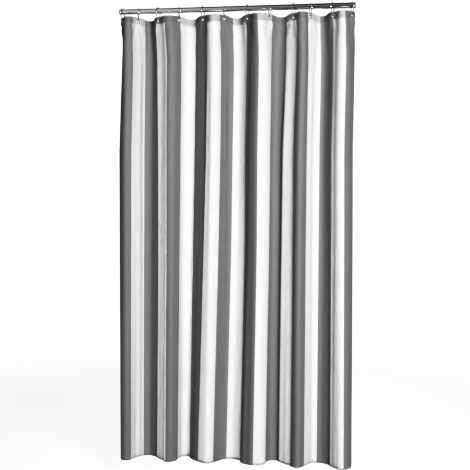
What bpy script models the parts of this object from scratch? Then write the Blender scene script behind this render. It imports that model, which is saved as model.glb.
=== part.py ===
"""A striped textile shower curtain, hung by twelve pear-shaped wire rings from a straight rod.

Metres, +Z up. The rod runs along +X with its left end face at the origin, and the curtain's
front faces -Y. The cloth is laid out by its own arc length, so its folds keep the cut width.
"""

import math

import bmesh
import bpy
import numpy as np
from mathutils import Vector

# Rod
ROD_DIAMETER = 0.025
ROD_WALL = 0.0012
ROD_PAST_RING = 0.012
ROD_SIDES = 24
PLUG_LIP = 0.003
PLUG_SPIGOT = 0.018

# Rings: bent from round wire, a wide top bow over the rod and a narrow bottom bow in the eyelet
RING_COUNT = 12
WIRE_DIAMETER = 0.0036
RING_WIDTH = 0.044
RING_HEIGHT = 0.0602
RING_BOTTOM_RADIUS = 0.0098
RING_ROD_CLEARANCE = 0.0005
RING_TOP_STEPS = 12
RING_BOTTOM_STEPS = 6
YAW_TOWARDS_BACK = math.radians(22)
YAW_TOWARDS_FRONT = math.radians(-14)

# Eyelets: a front flange with a barrel that is rolled over a washer at the back
EYELET_PLAY_SHARE = 1.03  # of the wire's diameter
BOW_RISE_SHARE = 0.486  # of the wire's diameter
WIRE_SLANT = math.radians(38)
EYELET_BARREL_WALL = 0.0005
EYELET_FLANGE_WIDTH = 0.0023
EYELET_METAL = 0.0005
EYELET_ROLL = 0.0008
EYELET_SIDES = 12

# Cloth, as cut and hemmed
FLAT_WIDTH = 1.80
CURTAIN_LENGTH = 2.00
CLOTH_THICKNESS = 0.0004
FIRST_EYELET_IN = 0.020
EYELET_BELOW_TOP = 0.018
HEADER_HEIGHT = 0.032
TAPE_THICKNESS = 0.0004
TAPE_EDGE_IN = 0.002
HEM_HEIGHT = 0.012
HEM_CORD_DIAMETER = 0.0020
FIT_GAP = 0.0003

# How it hangs: from each ring to the next, the straight distance along the rod at the header and
# at the hem, the cloth's slope to the rod where each ring holds it, and the sag of the top edge
HEADER_CHORDS = (0.072, 0.092, 0.097, 0.108, 0.098, 0.103, 0.099, 0.107, 0.075, 0.096, 0.087)
HEM_CHORDS = (0.064, 0.104, 0.083, 0.086, 0.107, 0.106, 0.100, 0.096, 0.092, 0.101, 0.091)
HEM_SHIFT = 0.005
RING_SLOPES = (50, 54, 34, 58, 34, 58, 40, 58, 34, 56, 40, 58)
FRONT_FOLD_SAG = 0.004
BACK_FOLD_SAG = 0.009

# Fineness of the folds
FLAT_HALF_WIDTH = 0.011
FOLD_COLUMNS = 4
FOLD_SAMPLES = 80

ROD_RADIUS = ROD_DIAMETER / 2
WIRE_RADIUS = WIRE_DIAMETER / 2
RING_TOP_RADIUS = RING_WIDTH / 2 - WIRE_RADIUS
RING_TOP_Z = ROD_RADIUS + RING_ROD_CLEARANCE + WIRE_RADIUS
RING_BOTTOM_Z = RING_TOP_Z + WIRE_DIAMETER - RING_HEIGHT
LAYER_OFFSET = TAPE_THICKNESS / 2 + FIT_GAP + CLOTH_THICKNESS / 2
HEADER_HALF = LAYER_OFFSET + CLOTH_THICKNESS / 2
EYELET_DEPTH = 2 * HEADER_HALF + 3 * (FIT_GAP + EYELET_METAL)
WIRE_PASSAGE = WIRE_DIAMETER / math.cos(WIRE_SLANT) + EYELET_DEPTH * math.tan(WIRE_SLANT)
EYELET_RADIUS = (WIRE_PASSAGE + EYELET_PLAY_SHARE * WIRE_DIAMETER) / 2
BARREL_RADIUS = EYELET_RADIUS + EYELET_BARREL_WALL
CLEAR_RADIUS = (BARREL_RADIUS + FIT_GAP) / math.cos(math.pi / EYELET_SIDES)
FLANGE_RADIUS = EYELET_RADIUS + EYELET_FLANGE_WIDTH
EYELET_Z = RING_BOTTOM_Z - (EYELET_RADIUS - WIRE_RADIUS - BOW_RISE_SHARE * WIRE_DIAMETER)
EYELET_PITCH = (FLAT_WIDTH - 2 * FIRST_EYELET_IN) / (RING_COUNT - 1)
TOP_Z = EYELET_Z + EYELET_BELOW_TOP
HEADER_Z = TOP_Z - HEADER_HEIGHT
BOTTOM_Z = TOP_Z - CURTAIN_LENGTH
HEM_Z = BOTTOM_Z + HEM_HEIGHT
FIRST_RING_X = PLUG_LIP + ROD_PAST_RING
HEM_BACK_OFFSET = HEM_CORD_DIAMETER + 2 * FIT_GAP + CLOTH_THICKNESS - LAYER_OFFSET
MERGE_DISTANCE = 0.00001
SHARP_CORNER = math.radians(40)


def make_material(name, color, roughness, metallic):
    """A plain Principled material."""
    material = bpy.data.materials.new(name)
    material.use_nodes = True
    shader = material.node_tree.nodes["Principled BSDF"]
    shader.inputs["Base Color"].default_value = (*color, 1.0)
    shader.inputs["Roughness"].default_value = roughness
    shader.inputs["Metallic"].default_value = metallic
    return material


def add_object(name, data, collection, material=None):
    """Links a new object, gives it its material and returns it."""
    item = bpy.data.objects.new(name, data)
    collection.objects.link(item)
    if material:
        data.materials.append(material)
    return item


def polyline_mesh(name, points, closed):
    """A mesh of edges through the points, which a Screw modifier then turns."""
    mesh = bpy.data.meshes.new(name)
    count = len(points)
    last = count if closed else count - 1
    edges = [(i, (i + 1) % count) for i in range(last)]
    mesh.from_pydata(points, edges, [])
    return mesh


def shade_round(item):
    """Applies a piece's modifiers, then shades its round faces smooth and its corners sharp."""
    bpy.context.view_layer.update()
    finished = item.evaluated_get(bpy.context.evaluated_depsgraph_get())
    item.data = bpy.data.meshes.new_from_object(finished)
    item.modifiers.clear()
    item.data.shade_smooth()
    item.data.set_sharp_from_angle(angle=SHARP_CORNER)


def turned(name, profile, sides, closed, collection, material):
    """A profile of (radius, height) pairs, running down its outer side, turned about Z."""
    mesh = polyline_mesh(name, [(radius, 0.0, height) for radius, height in profile], closed)
    item = add_object(name, mesh, collection, material)
    screw = item.modifiers.new("turn", "SCREW")
    screw.axis = "Z"
    screw.angle = 2 * math.pi
    screw.steps = sides
    screw.render_steps = sides
    screw.use_merge_vertices = True
    screw.merge_threshold = MERGE_DISTANCE
    shade_round(item)
    return item


# The hang of the cloth


def fold_angles(peak, start, end, lean, side, along):
    """The cloth's direction to the rod along one fold, from one ring (0) to the next (1)."""
    mean = (start + end) / 2
    uneven = (start - end) / 2
    angle = peak * np.cos(math.pi * along) + (mean - peak) * np.cos(3 * math.pi * along)
    return side * (angle + uneven * np.cos(2 * math.pi * along)) + lean * np.sin(math.pi * along)


def level_lean(peak, start, end, side, along):
    """The lean that brings a fold's far end back under the rod."""
    lean = 0.0
    bulge = np.sin(math.pi * along)
    for _ in range(8):
        angles = fold_angles(peak, start, end, lean, side, along)
        miss = np.mean(np.sin(angles))
        rate = np.mean(np.cos(angles) * bulge)
        lean -= miss / max(rate, 0.05)
    return lean


def solve_fold(chord, start, end, side):
    """The peak angle and lean of a fold whose cloth length is EYELET_PITCH and span is chord."""
    along = (np.arange(FOLD_SAMPLES) + 0.5) / FOLD_SAMPLES
    low, high = 0.0, math.radians(150)
    for _ in range(40):
        peak = (low + high) / 2
        lean = level_lean(peak, start, end, side, along)
        span = EYELET_PITCH * np.mean(np.cos(fold_angles(peak, start, end, lean, side, along)))
        if span > chord:
            low = peak
        else:
            high = peak
    return peak, lean


def plan_curve(chords, first_x):
    """Arc lengths and points of the whole cloth in plan, from the left edge to the right."""
    slopes = [math.radians(slope) for slope in RING_SLOPES]
    lengths = [0.0, FIRST_EYELET_IN]
    edge = Vector((math.cos(slopes[0]), -math.sin(slopes[0]))) * FIRST_EYELET_IN
    ring = Vector((first_x, 0.0))
    points = [ring - edge, ring]
    step = EYELET_PITCH / FOLD_SAMPLES
    along = (np.arange(FOLD_SAMPLES) + 0.5) / FOLD_SAMPLES
    for fold, chord in enumerate(chords):
        side = -1 if fold % 2 == 0 else 1
        start, end = slopes[fold], slopes[fold + 1]
        peak, lean = solve_fold(chord, start, end, side)
        for angle in fold_angles(peak, start, end, lean, side, along):
            lengths.append(lengths[-1] + step)
            points.append(points[-1] + Vector((math.cos(angle), math.sin(angle))) * step)
    side = 1 if RING_COUNT % 2 == 0 else -1
    edge = Vector((math.cos(slopes[-1]), side * math.sin(slopes[-1]))) * FIRST_EYELET_IN
    lengths.append(FLAT_WIDTH)
    points.append(points[-1] + edge)
    return np.array(lengths), np.array(points)


def column_lengths():
    """Arc lengths of the cloth's columns: a flat stretch at each eyelet, folds between them."""
    columns = [0.0]
    for ring in range(RING_COUNT):
        centre = FIRST_EYELET_IN + ring * EYELET_PITCH
        columns += [centre - FLAT_HALF_WIDTH, centre + FLAT_HALF_WIDTH]
        if ring < RING_COUNT - 1:
            room = EYELET_PITCH - 2 * FLAT_HALF_WIDTH
            steps = range(1, FOLD_COLUMNS + 1)
            columns += [columns[-1] + room * step / (FOLD_COLUMNS + 1) for step in steps]
    columns.append(FLAT_WIDTH)
    return np.array(columns)


def plan_columns(chords, first_x):
    """Plan position of each column, and its mitred outward step to the back."""
    lengths, points = plan_curve(chords, first_x)
    columns = column_lengths()
    places = np.stack([np.interp(columns, lengths, points[:, axis]) for axis in (0, 1)], axis=1)
    runs = np.diff(places, axis=0)
    runs /= np.linalg.norm(runs, axis=1)[:, None]
    normals = np.stack([-runs[:, 1], runs[:, 0]], axis=1)
    before = np.vstack([normals[:1], normals])
    after = np.vstack([normals, normals[-1:]])
    middle = (before + after) / 2
    mitres = middle / np.sum(middle * before, axis=1)[:, None]
    return places, mitres


def column_sag():
    """How far each column hangs below a level top edge, which dips between the rings."""
    along = (column_lengths() - FIRST_EYELET_IN) / EYELET_PITCH
    fold = np.floor(along).astype(int)
    depth = np.where(fold % 2 == 0, FRONT_FOLD_SAG, BACK_FOLD_SAG)
    inside = (along > 0) & (along < RING_COUNT - 1)
    return np.where(inside, depth * np.sin(math.pi * along) ** 2, 0.0)


def hang(plan, offset, height, sag_share=1.0):
    """One row of the cloth: a point for each column, offset to the back by the given step."""
    places, mitres = plan
    flat = places + mitres * offset
    heights = height - column_sag() * sag_share
    return [Vector((x, y, z)) for (x, y), z in zip(flat, heights)]


def cloth_sheet(name, rows, thickness, collection, material):
    """A grid whose rows are put in their places, thickened to a closed sheet."""
    bm = bmesh.new()
    count = len(rows[0])
    bmesh.ops.create_grid(bm, x_segments=count - 1, y_segments=len(rows) - 1, size=1.0)
    bm.verts.ensure_lookup_table()
    for index, vert in enumerate(bm.verts):
        vert.co = rows[index // count][index % count]
    mesh = bpy.data.meshes.new(name)
    bm.to_mesh(mesh)
    bm.free()
    item = add_object(name, mesh, collection, material)
    thicken = item.modifiers.new("thickness", "SOLIDIFY")
    thicken.thickness = thickness
    thicken.offset = 0.0
    thicken.use_even_offset = True
    return item


def cut_holes(item, cutter):
    """Cuts the eyelet holes."""
    cut = item.modifiers.new("eyelet_holes", "BOOLEAN")
    cut.operation = "DIFFERENCE"
    cut.solver = "EXACT"
    cut.object = cutter


# Sub-parts


def make_rod(length, collection, steel, rubber):
    """A chromed tube with a plug pressed in each end."""
    inner = ROD_RADIUS - ROD_WALL
    tube_length = length - 2 * (PLUG_LIP + FIT_GAP)
    half = tube_length / 2
    profile = [(ROD_RADIUS, half), (ROD_RADIUS, -half), (inner, -half), (inner, half)]
    tube = turned("rod_tube", profile, ROD_SIDES, True, collection, steel)
    tube.location = (length / 2, 0.0, 0.0)
    tube.rotation_euler = (0.0, math.pi / 2, 0.0)
    spigot = inner * math.cos(math.pi / ROD_SIDES) - FIT_GAP
    bottom = -PLUG_LIP - PLUG_SPIGOT
    profile = [(0.0, 0.0), (ROD_RADIUS, 0.0), (ROD_RADIUS, -PLUG_LIP), (spigot, -PLUG_LIP)]
    profile += [(spigot, bottom), (0.0, bottom)]
    for name, place, turn in (("end_plug_left", 0.0, -1), ("end_plug_right", length, 1)):
        plug = turned(name, profile, ROD_SIDES, False, collection, rubber)
        plug.location = (place, 0.0, 0.0)
        plug.rotation_euler = (0.0, turn * math.pi / 2, 0.0)


def ring_points():
    """The wire's centre line in the YZ plane: two bows joined by straight sides."""
    top_centre = RING_TOP_Z - RING_TOP_RADIUS
    bottom_centre = RING_BOTTOM_Z + RING_BOTTOM_RADIUS
    drop = top_centre - bottom_centre
    slant = math.asin((RING_TOP_RADIUS - RING_BOTTOM_RADIUS) / drop)
    points = []
    for step in range(RING_TOP_STEPS + 1):
        angle = -slant + (math.pi + 2 * slant) * step / RING_TOP_STEPS
        reach = RING_TOP_RADIUS * math.cos(angle)
        points.append((reach, top_centre + RING_TOP_RADIUS * math.sin(angle)))
    for step in range(RING_BOTTOM_STEPS + 1):
        angle = math.pi + slant + (math.pi - 2 * slant) * step / RING_BOTTOM_STEPS
        reach = RING_BOTTOM_RADIUS * math.cos(angle)
        points.append((reach, bottom_centre + RING_BOTTOM_RADIUS * math.sin(angle)))
    return points


def wire_curve(name, points, radius, cyclic):
    """A round wire along a list of points."""
    curve = bpy.data.curves.new(name, "CURVE")
    curve.dimensions = "3D"
    curve.bevel_depth = radius
    curve.bevel_resolution = 2
    curve.use_fill_caps = not cyclic
    spline = curve.splines.new("POLY")
    spline.points.add(len(points) - 1)
    for point, place in zip(spline.points, points):
        point.co = (*place, 1.0)
    spline.use_cyclic_u = cyclic
    return curve


def make_rings(places, collection, steel):
    """One wire ring at each place on the rod, turned a little about the vertical."""
    points = [(0.0, y, z) for y, z in ring_points()]
    curve = wire_curve("ring_wire", points, WIRE_RADIUS, True)
    curve.materials.append(steel)
    for index, place in enumerate(places):
        ring = add_object(f"ring_{index + 1:02d}", curve, collection)
        ring.location = (place[0], 0.0, 0.0)
        yaw = YAW_TOWARDS_FRONT if index % 2 == 0 else YAW_TOWARDS_BACK
        ring.rotation_euler = (0.0, 0.0, yaw)


def make_eyelets(places, headings, collection, brass):
    """An eyelet and its back washer at each ring, square to the cloth there."""
    face = HEADER_HALF + FIT_GAP
    flange_top = face + EYELET_METAL
    washer_bottom = -face - EYELET_METAL
    roll_top = washer_bottom - FIT_GAP
    roll_bottom = roll_top - EYELET_METAL
    roll = BARREL_RADIUS + EYELET_ROLL
    eyelet = [(FLANGE_RADIUS, flange_top), (FLANGE_RADIUS, face), (BARREL_RADIUS, face)]
    eyelet += [(BARREL_RADIUS, roll_top), (roll, roll_top), (roll, roll_bottom)]
    eyelet += [(EYELET_RADIUS, roll_bottom), (EYELET_RADIUS, flange_top)]
    washer = [(FLANGE_RADIUS, -face), (FLANGE_RADIUS, washer_bottom)]
    washer += [(CLEAR_RADIUS, washer_bottom), (CLEAR_RADIUS, -face)]
    for index, (place, heading) in enumerate(zip(places, headings)):
        front = Vector((math.sin(heading), -math.cos(heading), 0.0))
        turn = front.to_track_quat("Z", "Y").to_euler()
        for kind, profile in (("eyelet", eyelet), ("washer", washer)):
            name = f"{kind}_{index + 1:02d}"
            item = turned(name, profile, EYELET_SIDES, True, collection, brass)
            item.location = (place[0], place[1], EYELET_Z)
            item.rotation_euler = turn


def make_hole_cutter(places, headings, collection):
    """Twelve short cylinders on the eyelets' axes, in one mesh."""
    bm = bmesh.new()
    for place, heading in zip(places, headings):
        front = Vector((math.sin(heading), -math.cos(heading), 0.0))
        turn = front.to_track_quat("Z", "Y").to_matrix().to_4x4()
        turn.translation = (place[0], place[1], EYELET_Z)
        bmesh.ops.create_cone(
            bm, cap_ends=True, segments=EYELET_SIDES, radius1=CLEAR_RADIUS,
            radius2=CLEAR_RADIUS, depth=8 * HEADER_HALF, matrix=turn,
        )
    mesh = bpy.data.meshes.new("hole_cutter")
    bm.to_mesh(mesh)
    bm.free()
    cutter = add_object("hole_cutter", mesh, collection)
    cutter.hide_render = True
    cutter.display_type = "WIRE"
    return cutter


def make_cloth(header_plan, hem_plan, cutter, collection, fabric, webbing):
    """The curtain panel, with its header and hem turned to the back, and the header's tape."""
    middle = [(header + hem) / 2 for header, hem in zip(header_plan, hem_plan)]
    rows = [
        hang(header_plan, LAYER_OFFSET, HEADER_Z),
        hang(header_plan, LAYER_OFFSET, TOP_Z),
        hang(header_plan, -LAYER_OFFSET, TOP_Z),
        hang(header_plan, -LAYER_OFFSET, HEADER_Z),
        hang(middle, -LAYER_OFFSET, (HEADER_Z + HEM_Z) / 2, 0.5),
        hang(hem_plan, -LAYER_OFFSET, HEM_Z, 0.0),
        hang(hem_plan, -LAYER_OFFSET, BOTTOM_Z, 0.0),
        hang(hem_plan, HEM_BACK_OFFSET, BOTTOM_Z, 0.0),
        hang(hem_plan, HEM_BACK_OFFSET, HEM_Z, 0.0),
    ]
    panel = cloth_sheet("curtain_panel", rows, CLOTH_THICKNESS, collection, fabric)
    cut_holes(panel, cutter)
    tape_rows = [
        hang(header_plan, 0.0, HEADER_Z + TAPE_EDGE_IN),
        hang(header_plan, 0.0, TOP_Z - TAPE_EDGE_IN),
    ]
    tape = cloth_sheet("header_tape", tape_rows, TAPE_THICKNESS, collection, webbing)
    cut_holes(tape, cutter)


def make_hem_cord(hem_plan, collection, webbing):
    """The weight cord that lies in the fold of the hem."""
    offset = (HEM_BACK_OFFSET - LAYER_OFFSET) / 2
    height = BOTTOM_Z + CLOTH_THICKNESS / 2 + FIT_GAP + HEM_CORD_DIAMETER / 2
    points = hang(hem_plan, offset, height, 0.0)
    curve = wire_curve("hem_weight_cord", points, HEM_CORD_DIAMETER / 2, False)
    add_object("hem_weight_cord", curve, collection, webbing)


def eyelet_places(plan):
    """Plan position and heading of the cloth's flat stretch at each ring."""
    columns = column_lengths()
    places = []
    headings = []
    for ring in range(RING_COUNT):
        flat_start = FIRST_EYELET_IN + ring * EYELET_PITCH - FLAT_HALF_WIDTH
        left = int(np.argmin(abs(columns - flat_start)))
        start, end = plan[0][left], plan[0][left + 1]
        places.append((start + end) / 2)
        headings.append(math.atan2(end[1] - start[1], end[0] - start[0]))
    return places, headings


def main():
    for item in list(bpy.data.objects):
        bpy.data.objects.remove(item)
    scene = bpy.context.scene.collection
    parts = bpy.data.collections.new("shower_curtain")
    cutters = bpy.data.collections.new("cutters")
    scene.children.link(parts)
    scene.children.link(cutters)

    chrome = make_material("chromed_steel", (0.62, 0.62, 0.63), 0.12, 1.0)
    plated = make_material("plated_brass", (0.58, 0.58, 0.60), 0.18, 1.0)
    fabric = make_material("polyester_weave", (0.55, 0.54, 0.53), 0.75, 0.0)
    webbing = make_material("stiff_webbing", (0.75, 0.75, 0.73), 0.85, 0.0)
    rubber = make_material("end_rubber", (0.45, 0.45, 0.45), 0.7, 0.0)

    header_plan = plan_columns(HEADER_CHORDS, FIRST_RING_X)
    hem_plan = plan_columns(HEM_CHORDS, FIRST_RING_X + HEM_SHIFT)
    places, headings = eyelet_places(header_plan)

    rod_length = places[-1][0] + ROD_PAST_RING + PLUG_LIP
    make_rod(rod_length, parts, chrome, rubber)
    make_rings(places, parts, chrome)
    make_eyelets(places, headings, parts, plated)
    cutter = make_hole_cutter(places, headings, cutters)
    make_cloth(header_plan, hem_plan, cutter, parts, fabric, webbing)
    make_hem_cord(hem_plan, parts, webbing)
    bpy.context.view_layer.update()


main()
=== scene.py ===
"""A striped textile shower curtain, hung by twelve wire rings from a chromed rod.

Metres, in the frame's own axes: +X along the rod, -Y to the curtain's front, +Z up. The cloth is
laid out by its own arc length, so every level of it keeps the cut width however it folds.
"""

import math

import bmesh
import bpy
import numpy as np
from mathutils import Matrix, Vector


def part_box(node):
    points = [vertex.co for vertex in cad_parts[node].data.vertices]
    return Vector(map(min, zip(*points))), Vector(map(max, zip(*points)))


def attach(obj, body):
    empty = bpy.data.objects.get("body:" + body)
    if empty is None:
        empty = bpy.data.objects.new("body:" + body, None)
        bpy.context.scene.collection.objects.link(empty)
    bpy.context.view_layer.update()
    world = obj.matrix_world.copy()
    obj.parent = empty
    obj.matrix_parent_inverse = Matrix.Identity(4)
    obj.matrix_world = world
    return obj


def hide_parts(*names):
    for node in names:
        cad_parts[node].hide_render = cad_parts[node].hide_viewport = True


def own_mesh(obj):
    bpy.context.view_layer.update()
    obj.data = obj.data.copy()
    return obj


bl_info = {
    "name": "Striped Shower Curtain",
    "version": (1, 0, 0),
    "blender": (4, 5, 0),
    "location": "3D View > Sidebar > Curtain",
    "description": "Adds a hung, striped shower curtain with its header, eyelets, rings and rod",
    "category": "Add Mesh",
}

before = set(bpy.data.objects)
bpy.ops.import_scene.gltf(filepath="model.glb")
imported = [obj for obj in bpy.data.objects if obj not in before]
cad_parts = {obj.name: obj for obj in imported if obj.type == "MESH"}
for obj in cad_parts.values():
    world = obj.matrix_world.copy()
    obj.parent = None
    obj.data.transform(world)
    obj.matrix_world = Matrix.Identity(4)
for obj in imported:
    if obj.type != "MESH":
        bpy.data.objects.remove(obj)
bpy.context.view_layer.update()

RING_COUNT = 12
ROD_LOW, ROD_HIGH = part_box("rod_tube")
PANEL_LOW, PANEL_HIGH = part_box("curtain_panel")
ROD_RADIUS = (ROD_HIGH.z - ROD_LOW.z) / 2

# How the cloth hangs. Each list of spans gives the distance along the rod from one ring's line to
# the next, and each list of slopes, in degrees, how far the cloth is turned from the rod there.
# A least-squares program fitted these lists; they are not chosen by hand and follow from no rule.
RING_SLOPES = (50, 54, 34, 58, 34, 58, 40, 58, 34, 56, 40, 58)
BODY_SLOPES = (78, 64, 41, 84, 40, 63, 60, 84, 40, 62, 56, 76)
HEM_SLOPES = (81, 61, 40, 84, 40, 65, 60, 84, 40, 65, 52, 76)
UPPER_SPANS = (0.082, 0.104, 0.089, 0.106, 0.100, 0.098, 0.103, 0.089, 0.091, 0.096, 0.088)
MIDDLE_SPANS = (0.078, 0.106, 0.086, 0.098, 0.104, 0.104, 0.102, 0.088, 0.090, 0.102, 0.089)
HEM_SPANS = (0.064, 0.107, 0.084, 0.080, 0.107, 0.107, 0.109, 0.094, 0.093, 0.107, 0.091)
# The shares of the drop that these are given for, and how far the cloth is moved along the rod there
GIVEN_LEVELS = (0.0, 0.10, 0.30, 0.52, 1.0)
LEFT_SHIFTS = (0.0, 0.0, -0.014, -0.013, -0.008)

# Fineness of the folds
FOLD_SAMPLES = 80
LEVELS = 21

# The cloth's grid: fine round each eyelet, coarser on the folds between them
HOLE_CELL = 0.0025
HOLE_CELLS = 4
HOLE_CUT_CELLS = 2
FOLD_CELLS = 28
CLAMPED_HALF = 0.0105
CLAMPED_FADE = 0.026

# What the chrome mirrors: grey levels of the studio, from below (-1) to above (1)
PALE_BANDS = (
    (-1.0, 0.02), (-0.93, 0.03), (-0.82, 0.42), (0.0, 0.62), (0.82, 0.55), (0.95, 0.03),
)
DARK_BANDS = (
    (-1.0, 0.02), (-0.62, 0.03), (-0.52, 0.60), (-0.40, 0.03), (0.25, 0.03), (0.45, 0.75),
    (0.62, 0.03), (1.0, 0.02),
)
PALE_UP_TO, DARK_FROM = -0.24, -0.12  # across, from left (-1) to right (1)
STUDIO_DIM = 0.035
CAMERA_MIDDLE = 0.530  # along the rod, what the camera looks at

# The painted shade that darkens the cloth's colour where it lies double, and the view's curve as pairs of
# level in and level out
DOUBLED_PAINTED_SHADE = 0.93
CONTRAST_CURVE = ((0.06, 0.042), (0.13, 0.10), (0.27, 0.30), (0.45, 0.60), (0.72, 0.88))


# ---------------------------------------------------------------------------------------------
# Sizes and colours


class CurtainClothSizes(bpy.types.PropertyGroup):
    """The curtain as cut and hemmed."""

    flat_width: bpy.props.FloatProperty(
        name="Flat width", description="Width of the hemmed cloth when it lies flat",
        default=1.80, min=0.5, unit="LENGTH",
    )
    thickness: bpy.props.FloatProperty(
        name="Cloth thickness", description="Thickness of the woven polyester",
        default=0.0004, min=0.0001, unit="LENGTH",
    )
    first_eyelet: bpy.props.FloatProperty(
        name="First eyelet", description="From the side edge to the first eyelet's centre",
        default=0.020, unit="LENGTH",
    )
    eyelet_below_top: bpy.props.FloatProperty(
        name="Eyelet below top", description="From the top edge to the eyelets' centres",
        default=0.018, unit="LENGTH",
    )
    header_height: bpy.props.FloatProperty(
        name="Header", description="Height of the turned header", default=0.032, unit="LENGTH",
    )
    hem_height: bpy.props.FloatProperty(
        name="Hem", description="Height of the turned bottom hem", default=0.012, unit="LENGTH",
    )
    side_hem: bpy.props.FloatProperty(
        name="Side hem", description="Width of the turned side hems", default=0.010, unit="LENGTH",
    )
    layer_offset: bpy.props.FloatProperty(
        name="Layer offset", description="From the header's middle to each of its cloth layers",
        default=0.0007, unit="LENGTH",
    )
    cord_diameter: bpy.props.FloatProperty(
        name="Hem cord", description="Diameter of the cord that weights the hem",
        default=0.0020, unit="LENGTH",
    )
    stripe_width: bpy.props.FloatProperty(
        name="Stripe", description="Width of each stripe", default=0.0930, unit="LENGTH",
    )
    first_stripe: bpy.props.FloatProperty(
        name="First stripe", description="Width of the stripe at the left edge",
        default=0.134, unit="LENGTH",
    )
    grey: bpy.props.StringProperty(
        name="Grey", description="Colour of the dark stripes, sRGB hex", default="A7A7A6",
    )
    white: bpy.props.StringProperty(
        name="White", description="Colour of the light stripes, sRGB hex", default="E6E6E6",
    )


class CurtainMetalSizes(bpy.types.PropertyGroup):
    """The rod, the rings and the eyelets."""

    wire_diameter: bpy.props.FloatProperty(
        name="Ring wire", description="Diameter of the rings' wire", default=0.0036, unit="LENGTH",
    )
    ring_width: bpy.props.FloatProperty(
        name="Ring width", description="Outer width of a ring's top bow",
        default=0.044, unit="LENGTH",
    )
    ring_bottom_radius: bpy.props.FloatProperty(
        name="Bottom bow", description="Centre-line radius of a ring's bottom bow",
        default=0.0098, unit="LENGTH",
    )
    rod_wall: bpy.props.FloatProperty(
        name="Rod wall", description="Wall of the rod's tube", default=0.0012, unit="LENGTH",
    )
    eyelet_radius: bpy.props.FloatProperty(
        name="Eyelet hole", description="Radius of the hole through an eyelet",
        default=0.00578, unit="LENGTH",
    )
    flange_width: bpy.props.FloatProperty(
        name="Eyelet flange", description="From the hole to the rim of an eyelet",
        default=0.0023, unit="LENGTH",
    )
    eyelet_metal: bpy.props.FloatProperty(
        name="Eyelet metal", description="Thickness of the eyelets' sheet metal",
        default=0.0005, unit="LENGTH",
    )
    chrome: bpy.props.StringProperty(
        name="Chrome", description="Colour of the chrome plating, sRGB hex", default="CFD0D2",
    )


class CurtainStage(bpy.types.PropertyGroup):
    """The floor, the lights and the camera."""

    floor_below: bpy.props.FloatProperty(
        name="Floor below hem", description="From the hem down to the floor",
        default=0.075, unit="LENGTH",
    )
    camera_turn: bpy.props.FloatProperty(
        name="Camera turn", description="How far the camera stands round to the right",
        default=math.radians(10.5), unit="ROTATION",
    )
    camera_away: bpy.props.FloatProperty(
        name="Camera distance", description="From the camera to the middle of the rod",
        default=5.0, unit="LENGTH",
    )
    camera_drop: bpy.props.FloatProperty(
        name="Camera drop", description="How far the camera is below the rod",
        default=0.80, unit="LENGTH",
    )
    camera_tilt: bpy.props.FloatProperty(
        name="Camera tilt", description="How far the camera looks down",
        default=math.radians(2.33), unit="ROTATION",
    )
    camera_lens: bpy.props.FloatProperty(
        name="Lens", description="Focal length in millimetres", default=85.8,
    )


# ---------------------------------------------------------------------------------------------
# Building helpers


def linear(code, alpha=1.0):
    """The linear colour of an sRGB hex code."""
    shades = [int(code[at : at + 2], 16) / 255 for at in (0, 2, 4)]
    return tuple(((c + 0.055) / 1.055) ** 2.4 if c > 0.04045 else c / 12.92 for c in shades) + (alpha,)


def add_node(tree, kind, inputs=None, **settings):
    """Adds a node with its settings, its plain inputs and its links."""
    node = tree.nodes.new(kind)
    for name, value in settings.items():
        setattr(node, name, value)
    for socket, value in (inputs or {}).items():
        if isinstance(value, bpy.types.NodeSocket):
            tree.links.new(value, node.inputs[socket])
        else:
            node.inputs[socket].default_value = value
    return node


def new_material(name):
    """An empty node material and its tree, or the one that was made before."""
    known = bpy.data.materials.get(name)
    if known:
        return known, None
    material = bpy.data.materials.new(name)
    material.use_nodes = True
    material.node_tree.nodes.clear()
    return material, material.node_tree


def finish_piece(item, material, body, replaced=()):
    """Gives a finished mesh its material and makes it ride on its body."""
    item.data.materials.clear()
    item.data.materials.append(material)
    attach(item, body)
    if replaced:
        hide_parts(*replaced)
    return item


def object_from(bm, name, sharp=math.radians(38)):
    """Links a bmesh as a new object, smooth but for its sharp corners."""
    mesh = bpy.data.meshes.new(name)
    bm.to_mesh(mesh)
    bm.free()
    mesh.shade_smooth()
    mesh.set_sharp_from_angle(angle=sharp)
    item = bpy.data.objects.new(name, mesh)
    bpy.context.scene.collection.objects.link(item)
    return item


def turned(profile, steps, matrix):
    """A bmesh of a closed (radius, height) outline spun about Z, then put in its place."""
    bm = bmesh.new()
    ring = [bm.verts.new((radius, 0.0, height)) for radius, height in profile]
    edges = [bm.edges.new((a, b)) for a, b in zip(ring, ring[1:] + ring[:1])]
    bmesh.ops.spin(
        bm, geom=ring + edges, cent=(0, 0, 0), axis=(0, 0, 1), angle=2 * math.pi,
        steps=steps, use_merge=True,
    )
    bmesh.ops.remove_doubles(bm, verts=bm.verts, dist=1e-6)
    bmesh.ops.recalc_face_normals(bm, faces=bm.faces)
    bmesh.ops.transform(bm, matrix=matrix, verts=bm.verts)
    return bm


def wire(name, paths, radius, sides, closed):
    """A mesh of round wire along each of the paths."""
    curve = bpy.data.curves.new(name, "CURVE")
    curve.dimensions = "3D"
    curve.bevel_depth = radius
    curve.bevel_resolution = (sides - 4) // 2
    curve.use_fill_caps = not closed
    for path in paths:
        spline = curve.splines.new("POLY")
        spline.points.add(len(path) - 1)
        flat = np.ones((len(path), 4))
        flat[:, :3] = path
        spline.points.foreach_set("co", flat.ravel())
        spline.use_cyclic_u = closed
    guide = bpy.data.objects.new(name, curve)
    mesh = bpy.data.meshes.new_from_object(guide)
    bpy.data.objects.remove(guide)
    bm = bmesh.new()
    bm.from_mesh(mesh)
    bpy.data.meshes.remove(mesh)
    bmesh.ops.remove_doubles(bm, verts=bm.verts, dist=1e-6)
    bmesh.ops.recalc_face_normals(bm, faces=bm.faces)
    return bm


# ---------------------------------------------------------------------------------------------
# The hang of the cloth


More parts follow.
